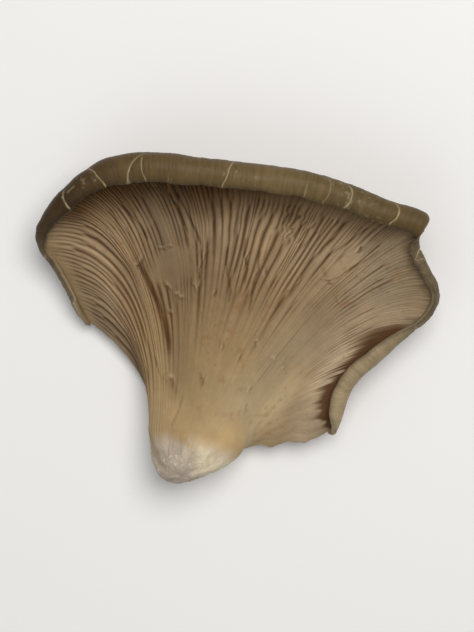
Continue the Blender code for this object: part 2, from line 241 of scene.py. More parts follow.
def stem_loops(first, rows):
    """Loops from the neck to the blunt end of the stem, and the end point."""
    along, across, top = stem_axes()
    base = np.array(STEM_CENTRE)
    rel = first - base
    ang = np.arctan2((rel @ top) / STEM_HALF_DEPTH, (rel @ across) / STEM_HALF_WIDTH)
    across_part, top_part = (rel @ across)[:, None] * across, (rel @ top)[:, None] * top
    behind = rel - across_part - top_part
    loops = []
    for k in range(1, rows + 1):
        x = np.sin(0.5 * np.pi * k / (rows + 0.7))
        lean = -across * STEM_LEAN * x ** 1.6
        wide = (1 - x ** 1.15) ** 0.55
        deep = (1 - x ** 2.2) ** 0.5
        oval = (wide * STEM_HALF_WIDTH * np.cos(ang)[:, None] * across
                + deep * STEM_HALF_DEPTH * np.sin(ang)[:, None] * top)
        carried = wide * across_part + deep * top_part + (1 - x) * behind
        w = smooth(0.0, 0.7, x)
        loops.append(base + lean - along * STEM_LENGTH * x + (1 - w) * carried + w * oval)
    end = base - across * STEM_LEAN - along * STEM_LENGTH
    return loops, end


def resting(tall):
    """The turn and the shift that lay the body in balance, centred over the origin."""
    a, b = np.radians(REST_TILT)
    about_x = np.array([[1, 0, 0], [0, np.cos(a), -np.sin(a)], [0, np.sin(a), np.cos(a)]])
    about_y = np.array([[np.cos(b), 0, np.sin(b)], [0, 1, 0], [-np.sin(b), 0, np.cos(b)]])
    turn = (about_y @ about_x).T
    points = (tall @ turn).reshape(-1, 3)
    lo, hi = points.min(0), points.max(0)
    return turn, np.array([0.5 * (lo[0] + hi[0]), 0.5 * (lo[1] + hi[1]), lo[2] + FLAT_SINK])

# ------------------------------------------------------------------ noise and helpers
def lattice(seed):
    return np.random.default_rng(seed).random((256, 256)) * 2 - 1


def noise(x, y, seed):
    """Smooth value noise in [-1, 1]; x and y are arrays in lattice steps."""
    x, y = np.broadcast_arrays(np.asarray(x, float), np.asarray(y, float))
    g = lattice(seed)
    xi, yi = np.floor(x).astype(int), np.floor(y).astype(int)
    fx, fy = x - xi, y - yi
    fx, fy = fx * fx * fx * (fx * (fx * 6 - 15) + 10), fy * fy * fy * (fy * (fy * 6 - 15) + 10)
    a, b = g[xi & 255, yi & 255], g[(xi + 1) & 255, yi & 255]
    c, d = g[xi & 255, (yi + 1) & 255], g[(xi + 1) & 255, (yi + 1) & 255]
    return (a * (1 - fx) + b * fx) * (1 - fy) + (c * (1 - fx) + d * fx) * fy


def fbm(x, y, seed, octaves=3, gain=0.5):
    total, amp, norm = 0.0, 1.0, 0.0
    for k in range(octaves):
        total = total + amp * noise(np.asarray(x) * 2**k + 17.3 * k, np.asarray(y) * 2**k - 9.1 * k, seed + k)
        norm += amp
        amp *= gain
    return total / norm


def spread(grid, cols, rows):
    """Sample a grid [i, j, 3] at fractional column and row positions by cubic interpolation."""
    def along(g, t):
        n = g.shape[0]
        i = np.clip(np.floor(t).astype(int), 0, n - 2)
        f = (t - i).reshape((-1,) + (1,) * (g.ndim - 1))
        p = [g[np.clip(i + k, 0, n - 1)] for k in (-1, 0, 1, 2)]
        first, last = (i == 0), (i == n - 2)
        p[0][first] = 2 * p[1][first] - p[2][first]
        p[3][last] = 2 * p[2][last] - p[1][last]
        return 0.5 * (2 * p[1] + (p[2] - p[0]) * f + (2 * p[0] - 5 * p[1] + 4 * p[2] - p[3]) * f**2
                      + (3 * p[1] - p[0] - 3 * p[2] + p[3]) * f**3)
    g = along(grid, cols)
    return np.swapaxes(along(np.swapaxes(g, 0, 1), rows), 0, 1)


def lin(rgb):
    c = np.asarray(rgb, float) / 255.0
    return np.where(c <= 0.04045, c / 12.92, ((c + 0.055) / 1.055) ** 2.4)


def mix(a, b, t):
    return a + (b - a) * t


def bell(x, width):
    return np.exp(-(x / width) ** 2)


EYE = np.array([24.5, 58.9])      # plan position of the camera, mm
EYE_HEIGHT = 600.0


def seen(p):
    """Where a point shows from the camera's height, in plan mm at the height of the gills."""
    s = (EYE_HEIGHT - 30.0) / (EYE_HEIGHT - p[..., 2:3])
    return EYE + (p[..., :2] - EYE) * s


def off_line(q, points):
    """Distance of plan points q from a polyline, and how far along it the nearest place is."""
    pts = np.array(points, float)
    best = np.full(q.shape[:-1], 1e9)
    where = np.zeros(q.shape[:-1])
    steps = np.linalg.norm(np.diff(pts, axis=0), axis=1)
    run = np.concatenate([[0], np.cumsum(steps)])
    for k in range(len(pts) - 1):
        a, ab = pts[k], pts[k + 1] - pts[k]
        t = np.clip(((q - a) @ ab) / (ab @ ab), 0, 1)
        d = np.linalg.norm(q - a - t[..., None] * ab, axis=-1)
        near = d < best
        best = np.where(near, d, best)
        where = np.where(near, (run[k] + t * steps[k]) / run[-1], where)
    return best, where


def normals(grid):
    du = np.gradient(grid, axis=0)
    dv = np.gradient(grid, axis=1)
    return unit(np.cross(dv, du))


def zipper(ids_a, at_a, ids_b, at_b):
    """Triangles between two runs of vertices, paired up by their positions along the seam."""
    faces, i, j = [], 0, 0
    while i < len(ids_a) - 1 or j < len(ids_b) - 1:
        if j == len(ids_b) - 1 or (i < len(ids_a) - 1 and at_a[i + 1] <= at_b[j + 1]):
            faces.append((ids_a[i], ids_b[j], ids_a[i + 1]))
            i += 1
        else:
            faces.append((ids_a[i], ids_b[j], ids_b[j + 1]))
            j += 1
    return faces


# ------------------------------------------------------------------ base sheets, laid as in the CAD
BASE_COLUMNS, BASE_BODY, BASE_CURL = 241, 60, 20
MARGIN_LENGTH = 254.0

coarse_F, coarse_B = sheets(COLUMNS + 1, BODY_ROWS, CURL_ROWS)
coarse_loop = rings(coarse_F, coarse_B)
coarse_stem, _ = stem_loops(coarse_loop[:, 0], STEM_ROWS)
turn, shift = resting(np.stack(list(reversed(coarse_stem))
                               + [coarse_loop[:, k] for k in range(coarse_loop.shape[1])], 0))
raw_F, raw_B = sheets(BASE_COLUMNS, BASE_BODY, BASE_CURL)

# gills for each mm of margin, by place round the margin: they crowd at the upper left and right
at_u = np.array([0.00, 0.05, 0.17, 0.20, 0.25, 0.29, 0.33, 0.55, 0.62, 0.70, 0.80, 1.00])
crowd = np.array([0.60, 0.60, 0.64, 0.85, 0.95, 0.78, 0.56, 0.54, 0.68, 0.85, 0.90, 0.90])
fine_u = np.linspace(0, 1, 4001)
tally = np.concatenate([[0], np.cumsum(np.interp(0.5 * (fine_u[1:] + fine_u[:-1]), at_u, crowd))])
GILLS = 4 * int(round(tally[-1] / 4000 * MARGIN_LENGTH / 4))
tally *= GILLS / tally[-1]
PER_GILL = 6
u_F = np.interp(np.arange(GILLS * PER_GILL + 1) / PER_GILL, tally, fine_u)
r_F = np.concatenate([np.linspace(0, 60, 113), 60 + np.linspace(0, 20, 25)[1:]])
c_F = np.interp(u_F, fine_u, tally)[:, None]
v_F = (r_F / 60.0)[None, :]

# splits in the skin of the roll: place round the margin, lean and bow along it, where on the
# curl it starts and ends, half width mm, depth mm, paleness
SPLITS = [
    (0.1912, -0.034, 0.050, 0.22, 0.99, 0.27, 0.45, 0.9),
    (0.2425, 0.016, -0.006, 0.18, 0.99, 0.24, 0.42, 0.95),
    (0.2945, -0.050, 0.052, 0.18, 0.99, 0.26, 0.45, 1.0),
    (0.3065, -0.008, 0.055, 0.45, 0.98, 0.20, 0.30, 0.7),
    (0.4150, -0.017, 0.000, 0.20, 0.99, 0.22, 0.40, 1.0),
    (0.5130, -0.004, 0.004, 0.60, 0.99, 0.20, 0.26, 0.65),
    (0.5410, 0.008, -0.040, 0.30, 0.92, 0.16, 0.18, 0.40),
    (0.5700, 0.012, -0.066, 0.14, 0.98, 0.29, 0.48, 0.95),
    (0.6270, 0.012, -0.060, 0.18, 0.98, 0.26, 0.42, 0.9),
    (0.3400, 0.004, 0.000, 0.78, 0.99, 0.16, 0.18, 0.4),
    (0.3460, -0.003, 0.000, 0.82, 0.99, 0.14, 0.15, 0.3),
    (0.7120, 0.010, 0.030, 0.20, 0.98, 0.26, 0.30, 0.8),
    (0.7230, -0.014, 0.020, 0.30, 0.95, 0.20, 0.22, 0.6),
    (0.8260, -0.010, 0.000, 0.20, 0.98, 0.30, 0.35, 0.8),
    (0.0980, 0.010, 0.000, 0.10, 0.95, 0.30, 0.25, 0.4),
]
near = np.zeros_like(fine_u)
for split in SPLITS:
    near += bell(fine_u - split[0], 0.006)
tally_B = np.concatenate([[0], np.cumsum(1.0 + 3.2 * np.minimum(near, 1.3))[:-1]])
COLS_B = 780
u_B = np.interp(np.linspace(0, tally_B[-1], COLS_B), tally_B, fine_u)
u_B[0], u_B[-1] = 0.0, 1.0
r_B = np.concatenate([np.linspace(0, 60, 58), 60 + np.linspace(0, 20, 41)[1:]])
v_B = (r_B / 60.0)[None, :]
s_B = (r_B - 60.0)[None, :] / 20.0
u_B2 = u_B[:, None]

F = spread(raw_F, u_F * (BASE_COLUMNS - 1), r_F) @ turn - shift
B = spread(raw_B, u_B * (BASE_COLUMNS - 1), r_B) @ turn - shift
n_F = normals(F)
n_F *= np.sign(n_F[len(u_F) // 2, 40, 2])
n_B = -normals(B)
n_B *= -np.sign(n_B[len(u_B) // 2, 30, 2])
q_F = seen(F)
mm_u = np.linalg.norm(np.gradient(F, axis=0), axis=-1) * PER_GILL      # mm for each gill

# ------------------------------------------------------------------ gills
rng = np.random.default_rng(20)
start_mid = rng.uniform(0.20, 0.46, GILLS + 9)       # where each second gill begins
start_low = rng.uniform(0.50, 0.84, GILLS + 9)       # where each short gill begins
tone = rng.uniform(-1, 1, GILLS + 9)
tall_gill = rng.uniform(0.72, 1.0, GILLS + 9)

side_F = np.minimum(u_F, 1 - u_F)[:, None] * MARGIN_LENGTH
left_lobe = 1 - smooth(0.19, 0.24, u_F)[:, None] * np.ones_like(v_F)

crumple = np.exp(-(np.linalg.norm((q_F - np.array((19.1, 30.3))) / np.array([4.6, 4.6]), axis=-1)) ** 2)
wander = (0.42 * noise(c_F * 0.19, v_F * 4.5, 1) + 0.16 * noise(c_F * 0.8, v_F * 13, 2)
          + 0.9 * crumple * noise(c_F * 0.6, v_F * 38, 3))
wander = wander * smooth(0.03, 0.2, v_F) * (1 - 0.45 * left_lobe)
cc = c_F + wander + 0.85 * noise(c_F * 0.31, 0.4, 11) + 0.30 * noise(c_F * 0.83, 2.7, 12)
cc = np.clip(cc, 0.0, GILLS - 1e-6)


def comb(period, p):
    x = np.abs(cc / period - np.round(cc / period)) * 2
    return 1 - x ** p


cell4 = (np.floor(cc / 4) * 4 + 2).astype(int)
cell2 = (np.floor(cc / 2) * 2 + 1).astype(int)
blade = np.round(cc).astype(int)
grown_mid = smooth(0, 0.07, v_F - start_mid[cell4] + 0.05 * left_lobe)
grown_low = smooth(0, 0.06, v_F - start_low[cell2]) * grown_mid
h = mix(mix(comb(4, 2.6), comb(2, 2.3), grown_mid), comb(1, 2.1), grown_low)
gap = mm_u * mix(4.0, mix(2.0, 1.0, grown_low), grown_mid)           # mm between gills here

# where the gills are low or grown together
fused = np.zeros_like(mm_u)
for x, y, rx, ry, angle, amount in [
        (-20.2, 17.5, 8.6, 5.6, 35, 0.80), (34.7, 18.4, 9.0, 2.6, 38, 0.86),
        (11.4, -24.7, 17.0, 9.0, 20, 0.78), (24.1, -4.2, 13.0, 9.0, 35, 0.62),
        (-11.2, -30.8, 12.0, 6.0, 0, 0.75), (1.1, 2.0, 8.0, 7.0, 60, 0.25),
        (-28.4, 33.5, 5.5, 3.2, 60, 0.45), (25.7, 11.4, 8.0, 4.0, 50, 0.45),
        (13.4, 40.1, 14.0, 2.0, -12, 0.45), (34.7, 33.5, 12.0, 2.0, -18, 0.40)]:
    a = np.radians(angle)
    d = q_F - np.array([x, y])
    e = np.stack([(d @ np.array([np.cos(a), np.sin(a)])) / rx, (d @ np.array([-np.sin(a), np.cos(a)])) / ry], -1)
    r = np.linalg.norm(e, axis=-1) * (1 + 0.22 * noise(q_F[..., 0] * 0.35, q_F[..., 1] * 0.35, 9))
    fused = np.maximum(fused, amount * (1 - smooth(0.62, 1.18, r)))

strength = (0.84 + 0.02 * left_lobe + 0.32 * noise(c_F * 0.13, v_F * 3.0, 5)
            + 0.18 * noise(c_F * 0.5, v_F * 7.0, 6))
rise = mix(0.08 + 0.92 * smooth(0.14, 0.58, v_F), 0.45 + 0.55 * smooth(0.04, 0.30, v_F), 1 - smooth(0.22, 0.33, u_F)[:, None])
strength *= (1 - fused) * rise
strength *= smooth(0.0, 3.2, side_F) * (1 - 0.9 * smooth(1.20, 1.33, v_F))
open_rim = 1 - smooth(0.115, 0.14, u_F) + smooth(0.73, 0.76, u_F)        # margin not rolled in
strength *= 1 - open_rim[:, None] * smooth(0.90, 1.03, v_F)
strength *= 1 - 0.85 * smooth(0.90, 0.965, u_F)[:, None]
under_roll = (smooth(0.13, 0.17, u_F) * (1 - smooth(0.60, 0.69, u_F)))[:, None] * smooth(0.55, 0.85, v_F)
strength *= 1 + 0.85 * under_roll * (1 - smooth(0.34, 0.44, u_F)[:, None])
strength *= 1 - 0.40 * (smooth(0.36, 0.42, u_F) * (1 - smooth(0.62, 0.68, u_F)))[:, None] * smooth(0.84, 0.93, v_F + 0.03 * noise(c_F * 0.4, 0 * v_F, 8))
strength *= 1 - 0.35 * smooth(0.66, 0.74, u_F)[:, None]
depth = np.clip(0.42 * gap, 0.17, 1.0) * np.clip(strength, 0.02, 1.6)
ridge = h * mix(1.0, tall_gill[blade], 0.6 * smooth(0.3, 0.6, v_F))
ridge = ridge * (1 - 0.22 * np.maximum(noise(c_F * 2.1, v_F * 16, 7), 0))
relief = -(1 - ridge) * depth

# the long fold where the left lobe dips under
FOLD = [(-41.1, 38.5), (-36.2, 29.0), (-31.3, 20.0), (-28.0, 13.9), (-24.7, 6.5), (-22.5, -0.1), (-21.2, -6.6), (-20.6, -13.2)]
d_fold, w_fold = off_line(q_F, FOLD)
fold = bell(d_fold, 0.35 + 0.45 * smooth(0.2, 0.5, w_fold)) * (0.30 * smooth(0.0, 0.12, w_fold) + 0.70 * smooth(0.34, 0.46, w_fold)) * (1 - smooth(0.84, 1.0, w_fold))
fold *= (u_F[:, None] > 0.05)
relief -= 1.1 * fold

# short breaks across or along the gills: plan place, heading, half length mm, half width mm, depth
BREAKS = [
    (-30.1, 18.8, 50, 1.9, 0.45, 0.9), (-23.1, 23.3, 5, 1.6, 0.35, 0.6), (-21.0, 23.7, -20, 1.1, 0.3, 0.5),
    (-21.9, 11.4, -55, 1.5, 0.40, 0.8), (-17.8, 8.1, -15, 1.8, 0.42, 0.9), (-21.4, 3.2, -50, 1.2, 0.40, 0.8),
    (-13.2, 11.0, -50, 1.3, 0.38, 0.7), (-10.8, 18.8, 80, 2.0, 0.30, 0.6), (-9.6, 20.8, 60, 2.2, 0.28, 0.5),
    (-11.2, 11.8, 70, 1.6, 0.35, 0.6), (-6.3, 9.3, 80, 1.3, 0.35, 0.6), (-10.0, 2.4, -35, 1.3, 0.35, 0.6),
    (10.1, 15.9, 80, 1.0, 0.45, 0.7), (3.6, 19.6, 75, 2.6, 0.32, 0.8), (7.3, 16.3, 80, 2.2, 0.32, 0.7),
    (39.6, 23.3, 60, 1.2, 0.42, 1.0), (32.3, 31.9, 70, 1.3, 0.38, 0.7), (24.9, 30.7, 70, 1.2, 0.36, 0.7),
    (29.4, 13.0, -25, 1.9, 0.36, 0.8), (32.3, 7.3, -60, 1.5, 0.34, 0.6), (6.4, -6.6, -60, 1.0, 0.36, 0.6),
    (20.4, 13.0, 60, 1.8, 0.26, 0.5), (11.8, -12.0, -40, 0.9, 0.30, 0.5), (1.5, -11.2, 70, 1.3, 0.26, 0.4),
    (-10.4, -18.1, -60, 1.0, 0.35, 0.6), (-21.0, -18.1, -50, 1.7, 0.42, 0.8), (5.2, -21.8, 80, 1.1, 0.4, 0.35),
    (3.6, -28.0, 75, 1.5, 0.35, 0.3), (-3.8, -7.5, 75, 1.5, 0.25, 0.5), (15.9, -14.0, 80, 2.0, 0.22, 0.35),
]
for k in range(38):   # and small nicks scattered over the middle
    x, y = rng.uniform(*sorted((-15.3, 50.3))), rng.uniform(*sorted((36.0, -16.5)))
    BREAKS.append((x, y, rng.uniform(30, 100), rng.uniform(0.3, 0.9), rng.uniform(0.14, 0.24), rng.uniform(0.12, 0.32)))
nick = np.zeros_like(relief)
lip = np.zeros_like(relief)
for x, y, angle, length, width, deep in BREAKS:
    a = np.radians(angle)
    d = q_F - np.array([x, y])
    along_d = d @ np.array([np.cos(a), np.sin(a)])
    across_d = d @ np.array([-np.sin(a), np.cos(a)])
    across_d = across_d + 0.22 * np.sin(along_d * 1.7 + x)
    m = np.exp(-(along_d / length) ** 4 - (across_d / width) ** 2)
    nick = np.maximum(nick, m * deep)
    lip = np.maximum(lip, deep * np.exp(-(along_d / length) ** 4 - ((across_d - 2.0 * width) / (0.9 * width)) ** 2))
relief += -1.0 * nick + 0.30 * lip

# the upper edge of the grown-together strip, and the ends of gills that stop against it
EDGES = [
    ([(26.9, 19.2), (28.2, 16.3), (29.8, 13.0), (33.1, 14.3), (37.2, 17.5), (42.5, 20.4), (47.0, 23.7)], 0.34, 0.7),
    ([(27.3, 18.0), (29.8, 21.2), (33.9, 24.1), (38.0, 27.0), (42.5, 30.3)], 0.30, 0.55),
    ([(29.0, 24.5), (31.4, 28.2), (34.7, 31.1), (38.8, 33.5)], 0.28, 0.45),
    ([(15.0, 31.1), (17.1, 33.5), (18.7, 35.2)], 0.34, 0.6), ([(16.7, 29.0), (19.1, 32.3), (21.2, 34.4)], 0.34, 0.6),
    ([(18.3, 27.0), (20.8, 30.3), (22.8, 32.3)], 0.36, 0.7), ([(19.6, 24.9), (22.0, 28.2), (24.5, 30.7)], 0.34, 0.6),
    ([(21.6, 23.7), (24.5, 27.4), (26.9, 29.4)], 0.30, 0.5), ([(-22.7, -17.7), (-20.2, -19.8), (-16.9, -24.3), (-18.2, -28.8)], 0.30, 0.5),
    ([(3.6, 27.8), (2.7, 21.2), (4.0, 17.1), (2.7, 11.4)], 0.32, 0.8),
    ([(-2.2, 25.3), (-3.0, 18.8), (-1.4, 9.8), (-2.2, 4.8)], 0.30, 0.7),
    ([(8.1, 23.7), (6.8, 16.3), (5.2, 8.1), (4.0, 1.6)], 0.32, 0.8),
    ([(-6.7, 32.7), (-7.1, 26.2), (-7.1, 20.4)], 0.26, 0.5), ([(11.8, 28.6), (10.1, 23.7), (8.9, 18.8)], 0.26, 0.5),
    ([(-38.7, 39.7), (-35.0, 36.0), (-30.1, 30.7), (-27.6, 25.7)], 0.30, 0.6),
    ([(-19.0, 41.7), (-15.7, 35.2), (-12.4, 28.2), (-10.8, 23.7)], 0.40, 1.0),
    ([(-21.9, 42.1), (-18.2, 35.2), (-14.9, 27.8)], 0.30, 0.7),
    ([(-24.3, -16.9), (-21.0, -20.2), (-18.6, -23.0)], 0.38, 1.0), ([(-17.3, -23.9), (-18.2, -27.6), (-19.8, -30.8), (-21.0, -33.7)], 0.42, 1.0),
    ([(-11.6, -16.1), (-10.0, -18.1), (-11.2, -21.4)], 0.38, 0.9), ([(-26.4, -10.3), (-24.7, -16.1), (-23.1, -21.0)], 0.32, 0.7),
    ([(-4.6, -21.4), (-0.1, -22.6), (4.8, -21.0)], 0.26, 0.5), ([(7.7, -18.1), (10.5, -20.6)], 0.28, 0.6),
]
edge_line = np.zeros_like(relief)
for pts, width, deep in EDGES:
    d, w = off_line(q_F, pts)
    edge_line = np.maximum(edge_line, deep * bell(d, width) * smooth(0, 0.12, w) * (1 - smooth(0.88, 1.0, w)))
relief -= 0.7 * edge_line

# slow unevenness of the flesh, shared by both faces so that it keeps its thickness
def swell(q):
    return 0.75 * noise(q[..., 0] * 0.055 + 3, q[..., 1] * 0.055, 31) + 0.35 * noise(q[..., 0] * 0.13, q[..., 1] * 0.13, 32)


calm_F = smooth(0.08, 0.3, v_F) * (1 - smooth(0.85, 1.0, v_F)) * smooth(0, 8, side_F)
relief += swell(q_F) * calm_F

# ------------------------------------------------------------------ skin
pit = np.zeros((len(u_B), len(r_B)))
pale = np.zeros_like(pit)
bulge = np.full_like(pit, 1.0)
for u0, lean, bow, s0, s1, width, deep, light in SPLITS:
    where = u0 + lean * (s_B - 0.6) + bow * (s_B - 0.6) ** 2
    where = where + 0.0006 * noise(s_B * 9, 0 * s_B + u0 * 50, 41)
    d = np.abs(u_B2 - where) * MARGIN_LENGTH
    span = smooth(s0, s0 + 0.10, s_B) * (1 - smooth(s1 - 0.05, s1 + 0.01, s_B))
    pit = np.maximum(pit, deep * bell(d, width) * span)
    worn = 0.72 + 0.28 * noise(s_B * 7 + 31 * u0, 0 * s_B + 90 * u0, 48)
    pale = np.maximum(pale, light * worn * bell(d, width * 0.95) * span)
    bulge = np.minimum(bulge, 1 - 0.85 * light * np.exp(-d / 2.2) * span)
on_roll = smooth(-0.15, 0.25, s_B)
side_B = np.minimum(u_B2, 1 - u_B2) * MARGIN_LENGTH
skin = -pit + 0.38 * (bulge - 1) * on_roll
skin = skin + on_roll * (0.22 * noise(u_B2 * 34, s_B * 1.3, 42) + 0.12 * noise(u_B2 * 120, s_B * 1.6, 43)
                         + 0.055 * noise(u_B2 * 420, s_B * 1.2, 44))
body_B = (1 - on_roll) * smooth(0.02, 0.2, v_B)
skin = skin + body_B * (0.30 * noise(u_B2 * 16, v_B * 3, 45) + 0.12 * noise(u_B2 * 60, v_B * 4, 46)
                        + 0.05 * noise(u_B2 * 190, v_B * 5, 47))
skin = skin * smooth(0.0, 1.5, side_B)
low_B = smooth(0.5, 3.0, B[..., 2])          # stays flat where it lies
skin = skin * low_B
skin = skin + swell(seen(B)) * smooth(0.08, 0.3, v_B) * (1 - smooth(0.85, 1.0, v_B)) * smooth(0, 8, side_B) * -low_B

F_out = F + n_F * relief[..., None]
B_out = B + n_B * skin[..., None]


# ------------------------------------------------------------------ free edges, ragged in places
def ragged(u, r, q):
    """Small scallops and spurs along the two free sides, as a pull in mm across the sheet."""
    v = r / 60.0
    right = smooth(0.945, 1.0, u)[:, None] * (smooth(0.05, 0.14, v) * (1 - smooth(0.86, 0.98, v)))[None]
    wave = 0.55 * noise(v[None] * 7 + 0 * u[:, None], 0.5, 51) + 0.16 * noise(v[None] * 17 + 0 * u[:, None], 1.5, 52)
    spur = 1.1 * bell(v - 0.40, 0.05) - 0.8 * bell(v - 0.55, 0.06) + 1.0 * bell(v - 0.74, 0.05)
    left = 1 - smooth(0.0, 0.02, u)
    spikes = 1.9 * bell(v - 0.035, 0.010) + 1.3 * bell(v - 0.11, 0.016) + 0.5 * noise(v * 22, 0 * v + 4.5, 53)
    return (right * (wave + spur[None])), left[:, None] * (spikes * smooth(0.0, 0.02, v) * (1 - smooth(0.8, 0.95, v)))[None]


for sheet, u, r in ((F_out, u_F, r_F), (B_out, u_B, r_B)):
    pull_r, pull_l = ragged(u, r, None)
    i = np.searchsorted(u, 0.97)
    out_r = unit(sheet[-1] - sheet[i])[None]
    i = np.searchsorted(u, 0.03)
    out_l = unit((sheet[0] - sheet[i]) * np.array([1.0, 1.0, 0.15]))[None]
    sheet += pull_r[..., None] * out_r + pull_l[..., None] * out_l

# the very edge of the curled margin is a little uneven
for sheet, u, r in ((F_out, u_F, r_F), (B_out, u_B, r_B)):
    uneven = 0.45 * noise(u * 44, 0 * u + 0.3, 54) + 0.28 * noise(u * 130, 0 * u + 1.3, 55)
    uneven = uneven * smooth(0.0, 0.02, u) * (1 - smooth(0.98, 1.0, u))
    late = smooth(72.0, 80.0, r)
    direction = unit(sheet[:, -1] - sheet[:, -4])
    sheet += (uneven[:, None] * late[None])[..., None] * direction[:, None]

# ------------------------------------------------------------------ stitch the skin together
verts, faces, uvs_of = [], [], []
points, colours, finish, grain, bake = [], [], [], [], []
total = 0


def add(p, colour, mark, mm, uv):
    """Append a block of points with their colour, finish marks, grain coordinates and bake UV."""
    global total
    count = int(np.prod(p.shape[:-1]))
    ids = np.arange(total, total + count).reshape(p.shape[:-1])
    points.append(p.reshape(-1, 3))
    colours.append(np.broadcast_to(colour, p.shape).reshape(-1, 3))
    finish.append(np.broadcast_to(mark, p.shape).reshape(-1, 3))
    grain.append(np.broadcast_to(mm, p.shape[:-1] + (2,)).reshape(-1, 2))
    bake.append(np.broadcast_to(uv, p.shape[:-1] + (2,)).reshape(-1, 2))
    total += count
    return ids


def quads(ids):
    a, b, c, d = ids[:-1, :-1], ids[1:, :-1], ids[1:, 1:], ids[:-1, 1:]
    return np.stack([a, b, c, d], -1).reshape(-1, 4)


# gill side colours: cream at the neck, browner out to the margin, painted shade, dark and warm, where the roll
# overhangs the gills, and painted shade in the gaps between gills; the tone varies from the left margin round to the
# right one
OUT_AT = [0.0, 0.2, 0.45, 0.65, 0.85, 1.0, 1.3]
TOP_RAMP = [(162, 138, 100), (140, 117, 82), (132, 109, 79), (155, 132, 101), (146, 126, 97), (134, 112, 82), (104, 82, 52)]
GAP_SHADE_RAMP = [(130, 104, 70), (98, 71, 42), (84, 59, 34), (82, 56, 31), (80, 53, 28), (62, 38, 15), (48, 28, 10)]
ROUND_AT = [0.0, 0.05, 0.12, 0.19, 0.27, 0.36, 0.46, 0.60, 0.75, 0.88, 1.0]
ROUND_TONE = [0.60, 0.84, 1.10, 1.12, 0.72, 0.88, 1.02, 1.06, 0.98, 1.40, 1.10]


def ramp(at, stops, colours):
    return np.stack([np.interp(at, stops, lin(colours)[:, k]) for k in range(3)], -1)


place = v_F + 0.05 * fbm(q_F[..., 0] * 0.11, q_F[..., 1] * 0.11, 59, 2)
round_tone = np.interp(u_F, ROUND_AT, ROUND_TONE)[:, None, None]
shaded = (smooth(0.13, 0.18, u_F) * (1 - smooth(0.60, 0.70, u_F)))[:, None] * smooth(0.56 + 0.12 * smooth(0.30, 0.45, u_F)[:, None], 0.90, place)
shaded = shaded * (1 - 0.45 * smooth(0.42, 0.56, u_F)[:, None])
tops = ramp(place, OUT_AT, TOP_RAMP) * round_tone
gap_shades = ramp(place, OUT_AT, GAP_SHADE_RAMP) * round_tone
tops = mix(tops, lin((82, 53, 13)), 0.92 * shaded[..., None])
gap_shades = mix(gap_shades, lin((38, 22, 5)), 0.92 * shaded[..., None])
cool = 1 + smooth(0.5, 0.8, u_F)[:, None, None] * np.array([-0.02, 0.03, 0.13])
tops, gap_shades = tops * cool, gap_shades * cool
# painted shade: the gaps between gills, the fold and the edges of the grown-together strip are coloured darker by their
# depth
shade = np.clip((1 - ridge) * np.clip(depth / 0.5, 0, 1.15), 0, 1) ** 1.35
shade = np.clip(shade + 0.75 * fold + 0.8 * edge_line * np.clip(depth / 0.35, 0.5, 1), 0, 1)
colour_F = mix(tops, gap_shades, (0.95 + 0.04 * under_roll)[..., None] * shade[..., None])
each = (0.085 * tone[blade] + 0.07 * noise(c_F * 0.6, v_F * 7, 61) + 0.05 * noise(c_F * 3.1, v_F * 22, 62))
colour_F = colour_F * (1 + each * (1 - 0.5 * fused) * (0.35 + 0.65 * smooth(0.12, 0.55, v_F)))[..., None]
blotch = fbm(q_F[..., 0] * 0.09, q_F[..., 1] * 0.09, 63, 3)
colour_F = colour_F * (1 + 0.07 * blotch)[..., None] * (1 + 0.03 * np.stack([blotch, 0 * blotch, -1.4 * blotch], -1))
# painted highlight: the crests of deep gills are coloured lighter
crest_highlight = smooth(0.86, 1.0, ridge) * np.clip(depth / 0.5, 0, 1)
colour_F = colour_F * (1 + 0.10 * crest_highlight * np.clip(0.6 + noise(c_F * 1.7, v_F * 10, 64), 0, 1.4))[..., None]
# painted shade in the nicks and a painted highlight on their raised lips
colour_F = mix(colour_F, lin((88, 60, 34)), (0.62 * np.clip(nick / 0.6, 0, 1))[..., None])
colour_F = mix(colour_F, lin((196, 174, 140)), (0.30 * np.clip(lip / 0.7, 0, 1))[..., None])
# painted shade, dark brown, along the fold where the left lobe dips under
fold_shade = fold * smooth(0.2, 0.45, w_fold)
colour_F = mix(colour_F, lin((88, 58, 28)), (0.7 * fold_shade)[..., None])
freckle = smooth(0.52, 0.75, noise(q_F[..., 0] * 0.8, q_F[..., 1] * 0.8, 65)) * smooth(0.2, 0.5, noise(q_F[..., 0] * 0.11, q_F[..., 1] * 0.11, 66))
colour_F = mix(colour_F, lin((128, 86, 46)), (0.35 * freckle)[..., None])

# skin colours by place round the margin
SKIN_AT = [0.0, 0.10, 0.13, 0.19, 0.28, 0.50, 0.68, 0.72, 0.82, 0.88, 1.0]
SKIN = [(104, 94, 76), (98, 84, 62), (60, 43, 20), (58, 41, 18), (84, 66, 38), (101, 84, 52), (86, 68, 38),
        (98, 84, 62), (100, 87, 66), (146, 128, 98), (154, 137, 104)]
rim = ramp(u_B, SKIN_AT, SKIN)[:, None]
back = lin((108, 92, 68)) * np.ones((len(u_B), 1, 1))
neck = lin((196, 184, 160)) * np.ones((len(u_B), 1, 1))
toward = smooth(0.45, 1.0, v_B + 0.10 * noise(u_B2 * 12, v_B * 3, 71))[..., None]
colour_B = mix(back, mix(back, rim, 0.75), toward)
colour_B = mix(colour_B, rim, smooth(-0.05, 0.25, s_B)[..., None] * np.ones((len(u_B), 1, 1)))
pale_neck = (1 - smooth(0.06, 0.42, v_B + 0.10 * noise(u_B2 * 20, v_B * 4, 72)))[..., None]
colour_B = mix(colour_B, neck, pale_neck)
streak = (0.10 * noise(u_B2 * 130, v_B * 3.0, 73) + 0.10 * noise(u_B2 * 330, v_B * 4.0, 74)
          + 0.05 * noise(u_B2 * 700, v_B * 5.0, 75))
cloud = fbm(B[..., 0] * 0.07, B[..., 1] * 0.07 + B[..., 2] * 0.07, 76, 3)
